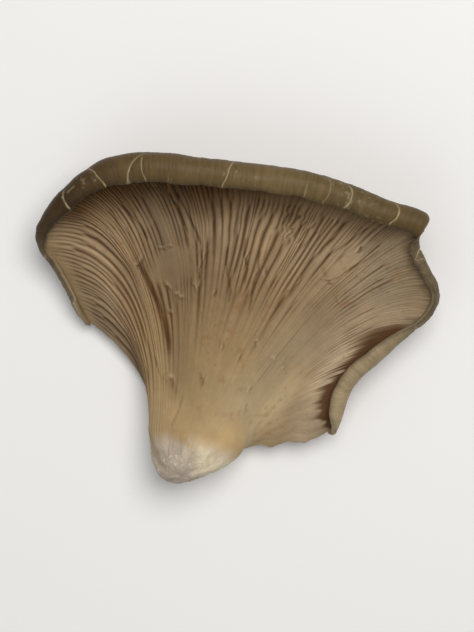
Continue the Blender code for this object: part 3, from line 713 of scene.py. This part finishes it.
colour_B = colour_B * (1 + streak + 0.12 * cloud)[..., None]
# painted shade: darker along the tucked-in tip of the roll and along its outermost side, lighter between
colour_B = colour_B * (1 - 0.30 * np.exp(-((s_B - 1.0) / 0.10) ** 2) - 0.16 * np.exp(-((s_B - 0.30) / 0.12) ** 2))[..., None]
colour_B = mix(colour_B, lin((184, 168, 130)), np.clip(1.0 * pale, 0, 1)[..., None])
scuff = smooth(0.45, 0.75, noise(u_B2 * 210, s_B * 13, 77)) * on_roll * smooth(0.15, 0.45, noise(u_B2 * 14, s_B * 3, 78))
colour_B = mix(colour_B, lin((150, 134, 104)), (0.35 * scuff)[..., None])

zero = np.zeros_like(v_F) * np.ones((len(u_F), 1))
soft_rim = (1 - smooth(0.115, 0.14, u_F))[:, None] * smooth(0.86, 0.97, v_F + 0.03 * noise(c_F * 0.8, 0 * v_F, 58))
colour_F = mix(colour_F, lin((136, 117, 84)), (0.30 * soft_rim)[..., None])
def soft_spot(q, x, y, rx, ry):
    return np.exp(-((q[..., 0] - x) / rx) ** 2 - ((q[..., 1] - y) / ry) ** 2)[..., None]


# paler flesh in the hollow below the flap, and cream on the right of the neck
colour_F = colour_F * (1 + soft_spot(q_F, 9.3, -24.7, 15.0, 10.0) * np.array([0.18, 0.25, 0.34]))
colour_F = colour_F * (1 + soft_spot(q_F, 19.1, -12.4, 13.0, 10.0) * np.array([0.14, 0.19, 0.24]))
colour_F = colour_F * (1 + soft_spot(q_F, 24.1, -3.8, 11.0, 7.0) * np.array([0.14, 0.16, 0.18]))
colour_F = colour_F * (1 - soft_spot(q_F, 24.5, -28.8, 7.0, 8.0) * np.array([0.18, 0.19, 0.24]))
colour_F = mix(colour_F, lin((184, 163, 124)), 0.55 * soft_spot(q_F, -2.2, -36.2, 7.0, 5.0))
NECK = lin((160, 136, 98))
low_F = 1 - smooth(0.0, 0.085, v_F + 0.04 * noise(c_F * 0.07, v_F * 9, 57) * smooth(0, 0.05, v_F))
def neck_tone(q):
    even = (1 + 0.05 * noise(q[..., 0] * 0.3, q[..., 1] * 0.3, 56))[..., None]
    return NECK * even * (1 + 0.32 * soft_spot(q, -2.2, -37.8, 10.0, 7.0))


colour_F = mix(colour_F, neck_tone(q_F), low_F[..., None])
# painted shade: a brown crease where the flap turns in, with the gill ends running into it, and a dusky rim of painted
# shade along the right margin
CREASE = [(51.5, -3.4), (46.6, -5.4), (42.5, -8.7), (37.2, -14.0), (32.3, -19.4), (29.4, -24.3), (29.0, -30.0), (31.4, -34.1)]
d_crease, w_crease = off_line(q_F, CREASE)
fray = 0.05 * noise(c_F * 1.3, 0 * v_F, 67) + 0.03 * noise(c_F * 3.7, v_F * 9, 68)
broad = (2.8 - 0.8 * smooth(0.6, 0.8, w_crease) + 1.9 * bell(w_crease - 0.22, 0.16) + 0.3 * bell(w_crease - 0.62, 0.12)
         + 2.3 * noise(c_F * 1.1, 0 * v_F, 69) + 1.0 * noise(c_F * 0.35, 0 * v_F + 2.2, 70))
crease = (1 - smooth(0.30 * broad, 1.35 * np.maximum(broad, 1.0), d_crease)) * smooth(0.80, 0.84, u_F)[:, None]
crease = np.maximum(crease, smooth(0.84, 0.87, u_F)[:, None] * (1 - smooth(0.985, 0.998, u_F))[:, None] * smooth(0.93, 0.99, v_F)) * (1 - smooth(1.14, 1.30, v_F))
colour_F = mix(colour_F, lin((74, 43, 8)), (0.93 * crease)[..., None])
rim_shade = (smooth(0.69, 0.71, u_F) * (1 - smooth(0.81, 0.84, u_F)))[:, None] * smooth(0.93, 1.03, v_F + fray)
colour_F = mix(colour_F, lin((92, 76, 52)), (0.60 * rim_shade)[..., None])
mark_F = np.stack([zero, 0.25 * (1 - smooth(0.03, 0.16, v_F)) + zero, 0.35 + zero], -1)
one = np.zeros_like(pit)
mark_B = np.stack([1 - pale_neck[..., 0] + one, 0.9 * pale_neck[..., 0] + one, 0.5 * (1 - pale) + one], -1)
arc_F = np.stack([u_F[:, None] * MARGIN_LENGTH + zero, v_F * 88.0 + zero], -1)
arc_B = np.stack([u_B2 * MARGIN_LENGTH + one, v_B * 88.0 + 400.0 + one], -1)
uv_F = np.stack([0.004 + 0.992 * u_F[:, None] + zero, 0.004 + 0.575 * v_F / v_F[0, -1] + zero], -1)
uv_B = np.stack([0.004 + 0.992 * u_B2 + one, 0.936 - 0.33 * v_B / v_B[0, -1] + one], -1)
id_F = add(F_out, colour_F, mark_F, arc_F, uv_F)
id_B = add(B_out, colour_B, mark_B, arc_B, uv_B)
blocks = [quads(id_F), quads(id_B)[:, ::-1]]
strips = []

# rim between the two faces: along the curled tip and down both free sides
tip_F = np.stack([np.interp(u_B, u_F, F_out[:, -1, k]) for k in range(3)], -1)
tip_B = B_out[:, -1]
pull = unit(tip_B - B_out[:, -3])
lobe = 0.55 * np.linalg.norm(tip_F - tip_B, axis=1)[:, None]
mid_tip = 0.5 * (tip_F + tip_B) + pull * lobe * 0.8
tip_tone = mix(rim[:, 0], lin((156, 138, 104)), (0.35 + 0.4 * (1 - smooth(0.09, 0.13, u_B)))[:, None])
id_T = add(mid_tip, tip_tone, (0.5, 0.0, 0.5), arc_B[:, -1], np.stack([0.004 + 0.992 * u_B, 0.593 + 0 * u_B], -1))
strips += zipper(id_F[:, -1], u_F, id_T, u_B)
blocks.append(np.stack([id_T[:-1], id_B[:-1, -1], id_B[1:, -1], id_T[1:]], -1))


def free_side(k, inner, hue):
    """The rounded rim down one free side; k is the first or last column."""
    a = np.stack([np.interp(r_B, r_F, F_out[k, :, i]) for i in range(3)], -1)
    b = B_out[k]
    away = unit(F_out[k, np.searchsorted(r_F, r_B).clip(0, len(r_F) - 1)] - F_out[inner, np.searchsorted(r_F, r_B).clip(0, len(r_F) - 1)])
    mid = 0.5 * (a + b) + away * 0.42 * np.linalg.norm(a - b, axis=1)[:, None]
    tone_k = np.stack([np.interp(r_B, [0, 12, 60, 80], lin(hue)[:, i]) for i in range(3)], -1)
    ids = add(mid, tone_k, (0.0, 0.3, 0.4), arc_B[k], np.stack([np.full(len(r_B), 0.002 if k == 0 else 0.998), uv_B[k, :, 1]], -1))
    strips.extend(zipper(id_F[k], r_F, ids, r_B))
    blocks.append(np.stack([ids[:-1], id_B[k, :-1], id_B[k, 1:], ids[1:]], -1))
    return ids


id_L = free_side(0, 12, np.array([(190, 176, 150), (172, 156, 126), (176, 160, 128), (168, 150, 120)], float))
id_R = free_side(-1, -13, np.array([(196, 170, 126), (190, 164, 122), (178, 152, 112), (170, 152, 124)], float))
for k, side in ((0, id_L), (-1, id_R)):
    blocks.append(np.array([[id_F[k, -1], side[-1], id_B[k, -1], id_T[k]]]))

# ------------------------------------------------------------------ stem
AROUND, ALONG = 420, 44
loop0_ids = np.concatenate([id_F[:, 0], id_R[:1], id_B[::-1, 0], id_L[:1]])
everything = np.concatenate(points)
loop0 = everything[loop0_ids]
closed = np.concatenate([loop0, loop0[:1]])
run = np.concatenate([[0], np.cumsum(np.linalg.norm(np.diff(closed, axis=0), axis=1))])
run /= run[-1]
at = np.arange(AROUND) / AROUND
ring0 = np.stack([np.interp(at, run, closed[:, k]) for k in range(3)], -1)
level = (ring0 + shift) @ turn.T
loops, stem_end = stem_loops(level, ALONG)
stem_end = stem_end @ turn - shift
S = np.stack([l @ turn - shift for l in loops], 1)                     # [around, along]
ring_extra = np.concatenate([S[-1:], S, S[:1]], 0)
du = (ring_extra[2:] - ring_extra[:-2])
dv = np.gradient(S, axis=1)
n_S = unit(np.cross(dv, du))
middle = S.mean(0, keepdims=True)
n_S *= np.sign(((S - middle) * n_S).sum(-1).mean())
turn_at = (at * 2 * np.pi)[:, None]
k_S = (np.arange(1, ALONG + 1) / ALONG)[None]
x_S, y_S, z_S = S[..., 0], S[..., 1], S[..., 2]
lump = (0.55 * noise(x_S * 0.16 + 5, y_S * 0.16 + z_S * 0.13, 81) + 0.30 * noise(x_S * 0.42, (y_S + z_S) * 0.34, 82)
        + 0.16 * noise(x_S * 1.0, (y_S - z_S) * 0.8, 83) + 0.07 * noise(x_S * 2.6, (y_S + z_S) * 2.2, 84))
wrinkle = 0.16 * noise(x_S * 1.5, y_S * 0.25 + z_S * 0.2, 85)
S_out = S + n_S * ((lump + wrinkle) * smooth(0.0, 0.35, k_S))[..., None]
above = smooth(-0.35, 0.5, n_S[..., 2])[..., None]
woolly = (smooth(0.04, 0.40, k_S + 0.16 * noise(x_S * 0.35, (y_S + z_S) * 0.3, 89)) * smooth(0, 0.12, k_S))[..., None]
warm = smooth(-17.0, -10.0, x_S + 2.0 * noise(x_S * 0.3, y_S * 0.3, 90))[..., None]
even_S = neck_tone(seen(S))
upper = mix(mix(even_S, lin((172, 158, 141)), woolly), lin((212, 198, 170)), 0.90 * warm * smooth(0, 0.30, k_S)[..., None])
colour_S = mix(mix(even_S, lin((182, 170, 146)), smooth(0, 0.3, k_S)[..., None]), upper, above)
fluff = (fbm(x_S * 0.8, (y_S + z_S) * 0.6, 86, 3) * smooth(0, 0.25, k_S))[..., None]
colour_S = colour_S * (1 + 0.10 * fluff)
grey = (smooth(0.05, 0.4, noise(x_S * 0.22, (y_S + z_S) * 0.2, 88)) * smooth(0.2, 0.5, k_S))[..., None]
colour_S = colour_S * (1 - 0.07 * grey)
# painted shade in the hollows between the lumps of the stem
hollow_shade_S = np.clip(-(lump + wrinkle) * 0.9, 0, 1)[..., None]
colour_S = mix(colour_S, colour_S * np.array([0.82, 0.76, 0.68]), hollow_shade_S)
speck = (smooth(0.72, 0.86, noise(x_S * 2.1, (y_S + z_S) * 1.7, 87)) * smooth(0.12, 0.5, k_S))[..., None]
colour_S = mix(colour_S, lin((232, 224, 208)), 0.45 * speck)
mark_S = np.stack([0 * k_S + 0 * turn_at, smooth(0.05, 0.5, k_S) + 0 * turn_at, 0.5 * smooth(0.2, 0.6, k_S) + 0 * turn_at], -1)
arc_S = np.stack([at[:, None] * 90 + 0 * k_S, 800 + 16 * k_S + 0 * turn_at], -1)
uv_S = np.stack([0.004 + 0.992 * at[:, None] + 0 * k_S, 0.942 + 0.05 * k_S + 0 * turn_at], -1)
id_S = add(S_out, colour_S, mark_S, arc_S, uv_S)
tip_lump = float((((lump + wrinkle) * smooth(0.0, 0.35, k_S))[:, -1]).mean())
stem_end = stem_end + tip_lump * unit(stem_end - S[:, -6].mean(0))
id_E = add(stem_end[None], lin((196, 184, 164)), (0, 1, 0.5), np.array([45.0, 818.0]), np.array([0.5, 0.996]))
wrapped = np.concatenate([id_S, id_S[:1]], 0)
blocks.append(quads(wrapped))
strips += zipper(np.concatenate([loop0_ids, loop0_ids[:1]]), run, wrapped[:, 0], np.arange(AROUND + 1) / AROUND)
strips += [(wrapped[i, -1], wrapped[i + 1, -1], id_E[0]) for i in range(AROUND)]

co = np.concatenate(points)
co[:, 2] = np.maximum(co[:, 2], 0.0)
co = co / 1000.0
quad_faces = np.concatenate(blocks).astype(np.int64)
tri_faces = np.array(strips, dtype=np.int64)
mesh = bpy.data.meshes.new("oyster_mushroom_flesh")
mesh.vertices.add(len(co))
mesh.vertices.foreach_set("co", co.ravel())
mesh.loops.add(quad_faces.size + tri_faces.size)
mesh.loops.foreach_set("vertex_index", np.concatenate([quad_faces.ravel(), tri_faces.ravel()]))
starts = np.concatenate([np.arange(len(quad_faces)) * 4, quad_faces.size + np.arange(len(tri_faces)) * 3])
mesh.polygons.add(len(starts))
mesh.polygons.foreach_set("loop_start", starts)
mesh.update(calc_edges=True)
corner = np.concatenate([quad_faces.ravel(), tri_faces.ravel()])
for name, data in (("OFBake", np.concatenate(bake)), ("grain", np.concatenate(grain))):
    layer = mesh.uv_layers.new(name=name)
    layer.uv.foreach_set("vector", data[corner].astype(np.float32).ravel())
for name, data in (("flesh", np.concatenate(colours)), ("finish", np.concatenate(finish))):
    layer = mesh.color_attributes.new(name=name, type="FLOAT_COLOR", domain="POINT")
    rgba = np.concatenate([np.clip(data, 0, 1), np.ones((len(data), 1))], 1)
    layer.data.foreach_set("color", rgba.astype(np.float32).ravel())
bm = bmesh.new()
bm.from_mesh(mesh)
bmesh.ops.recalc_face_normals(bm, faces=bm.faces)
open_edges = sum(1 for e in bm.edges if len(e.link_faces) != 2)
bm.to_mesh(mesh)
print("mushroom", len(co), "points", len(bm.faces), "faces", open_edges, "open edges",
      "volume cm3 %.1f" % (bm.calc_volume() * 1e6))
bm.free()
mesh.shade_smooth()
mesh.uv_layers.active = mesh.uv_layers["OFBake"]
mushroom = bpy.data.objects.new("oyster_mushroom_body", mesh)
bpy.context.scene.collection.objects.link(mushroom)


# ------------------------------------------------------------------ material
def node(tree, kind, x, y, **values):
    n = tree.nodes.new(kind)
    n.location = (x, y)
    for key, value in values.items():
        setattr(n, key, value)
    return n


def maths(tree, op, a, b=None, c=None, clamp=False):
    n = tree.nodes.new("ShaderNodeMath")
    n.operation = op
    n.use_clamp = clamp
    for i, x in enumerate((a, b, c)):
        if x is None:
            continue
        if isinstance(x, (int, float)):
            n.inputs[i].default_value = x
        else:
            tree.links.new(x, n.inputs[i])
    return n.outputs[0]


def flesh_material():
    mat = bpy.data.materials.new("mushroom_flesh_look")
    mat.use_nodes = True
    t = mat.node_tree
    bsdf = t.nodes["Principled BSDF"]
    flesh = node(t, "ShaderNodeAttribute", -1200, 300, attribute_name="flesh")
    marks = node(t, "ShaderNodeAttribute", -1200, 0, attribute_name="finish")
    part = node(t, "ShaderNodeSeparateColor", -1000, 0)
    t.links.new(marks.outputs["Color"], part.inputs[0])
    skin_m, fuzz_m, wet_m = part.outputs[0], part.outputs[1], part.outputs[2]
    uv = node(t, "ShaderNodeUVMap", -1400, -400, uv_map="grain")
    fibre_map = node(t, "ShaderNodeMapping", -1200, -400)
    fibre_map.inputs["Scale"].default_value = (2.3, 0.16, 1.0)
    t.links.new(uv.outputs[0], fibre_map.inputs[0])
    fibre = node(t, "ShaderNodeTexNoise", -1000, -400, noise_dimensions="2D")
    fibre.inputs["Scale"].default_value = 1.0
    fibre.inputs["Detail"].default_value = 3.0
    t.links.new(fibre_map.outputs[0], fibre.inputs["Vector"])
    where = node(t, "ShaderNodeTexCoord", -1400, -700)
    speck = node(t, "ShaderNodeTexNoise", -1000, -700)
    speck.inputs["Scale"].default_value = 1900.0
    speck.inputs["Detail"].default_value = 2.0
    t.links.new(where.outputs["Object"], speck.inputs["Vector"])
    cloudy = node(t, "ShaderNodeTexNoise", -1000, -950)
    cloudy.inputs["Scale"].default_value = 330.0
    cloudy.inputs["Detail"].default_value = 3.0
    t.links.new(where.outputs["Object"], cloudy.inputs["Vector"])
    # brightness: fibres stronger on the skin, fine specks on the fuzz, soft mottling everywhere
    f = maths(t, "SUBTRACT", fibre.outputs[0], 0.5)
    k = maths(t, "MULTIPLY_ADD", skin_m, 0.30, 0.16)
    a = maths(t, "MULTIPLY", f, k)
    s = maths(t, "SUBTRACT", speck.outputs[0], 0.5)
    b = maths(t, "MULTIPLY", s, maths(t, "MULTIPLY_ADD", fuzz_m, 0.30, 0.10))
    c = maths(t, "MULTIPLY", maths(t, "SUBTRACT", cloudy.outputs[0], 0.5), 0.22)
    gain = maths(t, "ADD", maths(t, "ADD", maths(t, "ADD", a, b), c), 1.0)
    tinted = node(t, "ShaderNodeVectorMath", -400, 300, operation="SCALE")
    t.links.new(flesh.outputs["Color"], tinted.inputs[0])
    t.links.new(gain, tinted.inputs["Scale"])
    t.links.new(tinted.outputs[0], bsdf.inputs["Base Color"])
    # roughness: silky skin, matt fuzz, slightly moist gills
    rough = maths(t, "SUBTRACT", 0.66, maths(t, "MULTIPLY", skin_m, 0.16))
    rough = maths(t, "ADD", rough, maths(t, "MULTIPLY", fuzz_m, 0.20))
    rough = maths(t, "ADD", rough, maths(t, "MULTIPLY", f, 0.16))
    rough = maths(t, "SUBTRACT", rough, maths(t, "MULTIPLY", wet_m, 0.06), clamp=True)
    t.links.new(rough, bsdf.inputs["Roughness"])
    # relief: fibres, pores and fuzz, in metres
    h1 = maths(t, "MULTIPLY", fibre.outputs[0], maths(t, "MULTIPLY_ADD", skin_m, 0.00010, 0.00005))
    h2 = maths(t, "MULTIPLY", speck.outputs[0], maths(t, "MULTIPLY_ADD", fuzz_m, 0.00032, 0.00004))
    h3 = maths(t, "MULTIPLY", cloudy.outputs[0], maths(t, "MULTIPLY_ADD", fuzz_m, 0.00050, 0.00010))
    bump = node(t, "ShaderNodeBump", -200, -400)
    bump.inputs["Strength"].default_value = 0.85
    bump.inputs["Distance"].default_value = 1.0
    t.links.new(maths(t, "ADD", maths(t, "ADD", h1, h2), h3), bump.inputs["Height"])
    t.links.new(bump.outputs[0], bsdf.inputs["Normal"])
    bsdf.inputs["IOR"].default_value = 1.40
    bsdf.inputs["Specular IOR Level"].default_value = 0.22
    bsdf.inputs["Subsurface Weight"].default_value = 0.14
    bsdf.inputs["Subsurface Radius"].default_value = (1.0, 0.55, 0.28)
    bsdf.inputs["Subsurface Scale"].default_value = 0.0012
    bsdf.inputs["Sheen Weight"].default_value = 0.06
    bsdf.inputs["Sheen Roughness"].default_value = 0.5
    return mat


mesh.materials.append(flesh_material())
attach(mushroom, "root")
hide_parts("oyster_mushroom")

# ------------------------------------------------------------------ floor, light and camera
floor_mesh = bpy.data.meshes.new("floor")
bm = bmesh.new()
bmesh.ops.create_grid(bm, x_segments=1, y_segments=1, size=3.0)
bm.to_mesh(floor_mesh)
bm.free()
floor = bpy.data.objects.new("floor", floor_mesh)
floor.location = (0, 0, -0.0002)
bpy.context.scene.collection.objects.link(floor)
pale_floor = bpy.data.materials.new("floor_pale")
pale_floor.use_nodes = True
shader = pale_floor.node_tree.nodes["Principled BSDF"]
shader.inputs["Base Color"].default_value = (0.78, 0.77, 0.76, 1)
shader.inputs["Roughness"].default_value = 0.7
floor_mesh.materials.append(pale_floor)


def lamp(name, place, target, size, power, colour):
    data = bpy.data.lights.new(name, "AREA")
    data.shape = "DISK"
    data.size = size
    data.energy = power
    data.color = colour
    obj = bpy.data.objects.new(name, data)
    obj.location = place
    obj.rotation_euler = (Vector(target) - Vector(place)).to_track_quat("-Z", "Y").to_euler()
    bpy.context.scene.collection.objects.link(obj)


lamp("key", (0.20, 0.34, 0.90), (0, 0, 0), 0.62, 8.0, (1.0, 0.985, 0.96))
lamp("fill", (-0.5, -0.6, 0.8), (0, 0, 0), 1.1, 2.2, (0.97, 0.985, 1.0))
world = bpy.data.worlds.new("studio")
world.use_nodes = True
world.node_tree.nodes["Background"].inputs["Color"].default_value = (1.0, 1.0, 1.0, 1)
world.node_tree.nodes["Background"].inputs["Strength"].default_value = 0.30
bpy.context.scene.world = world
bpy.context.scene.view_settings.view_transform = "Standard"

camera_data = bpy.data.cameras.new("camera")
camera_data.sensor_width = 36.0
camera_data.lens = 102.0
camera_data.clip_start = 0.01
camera = bpy.data.objects.new("camera", camera_data)
camera.location = (0.001 * EYE[0], 0.001 * EYE[1], 0.001 * EYE_HEIGHT)
aim = Vector((0.0, 0.0005, 0.015))
ahead = (aim - camera.location).normalized()
across_view = ahead.cross(Vector((0, 1, 0))).normalized()      # the cap's far margin is up
camera.rotation_euler = Matrix((across_view, across_view.cross(ahead), -ahead)).transposed().to_euler()
bpy.context.scene.collection.objects.link(camera)
bpy.context.scene.camera = camera
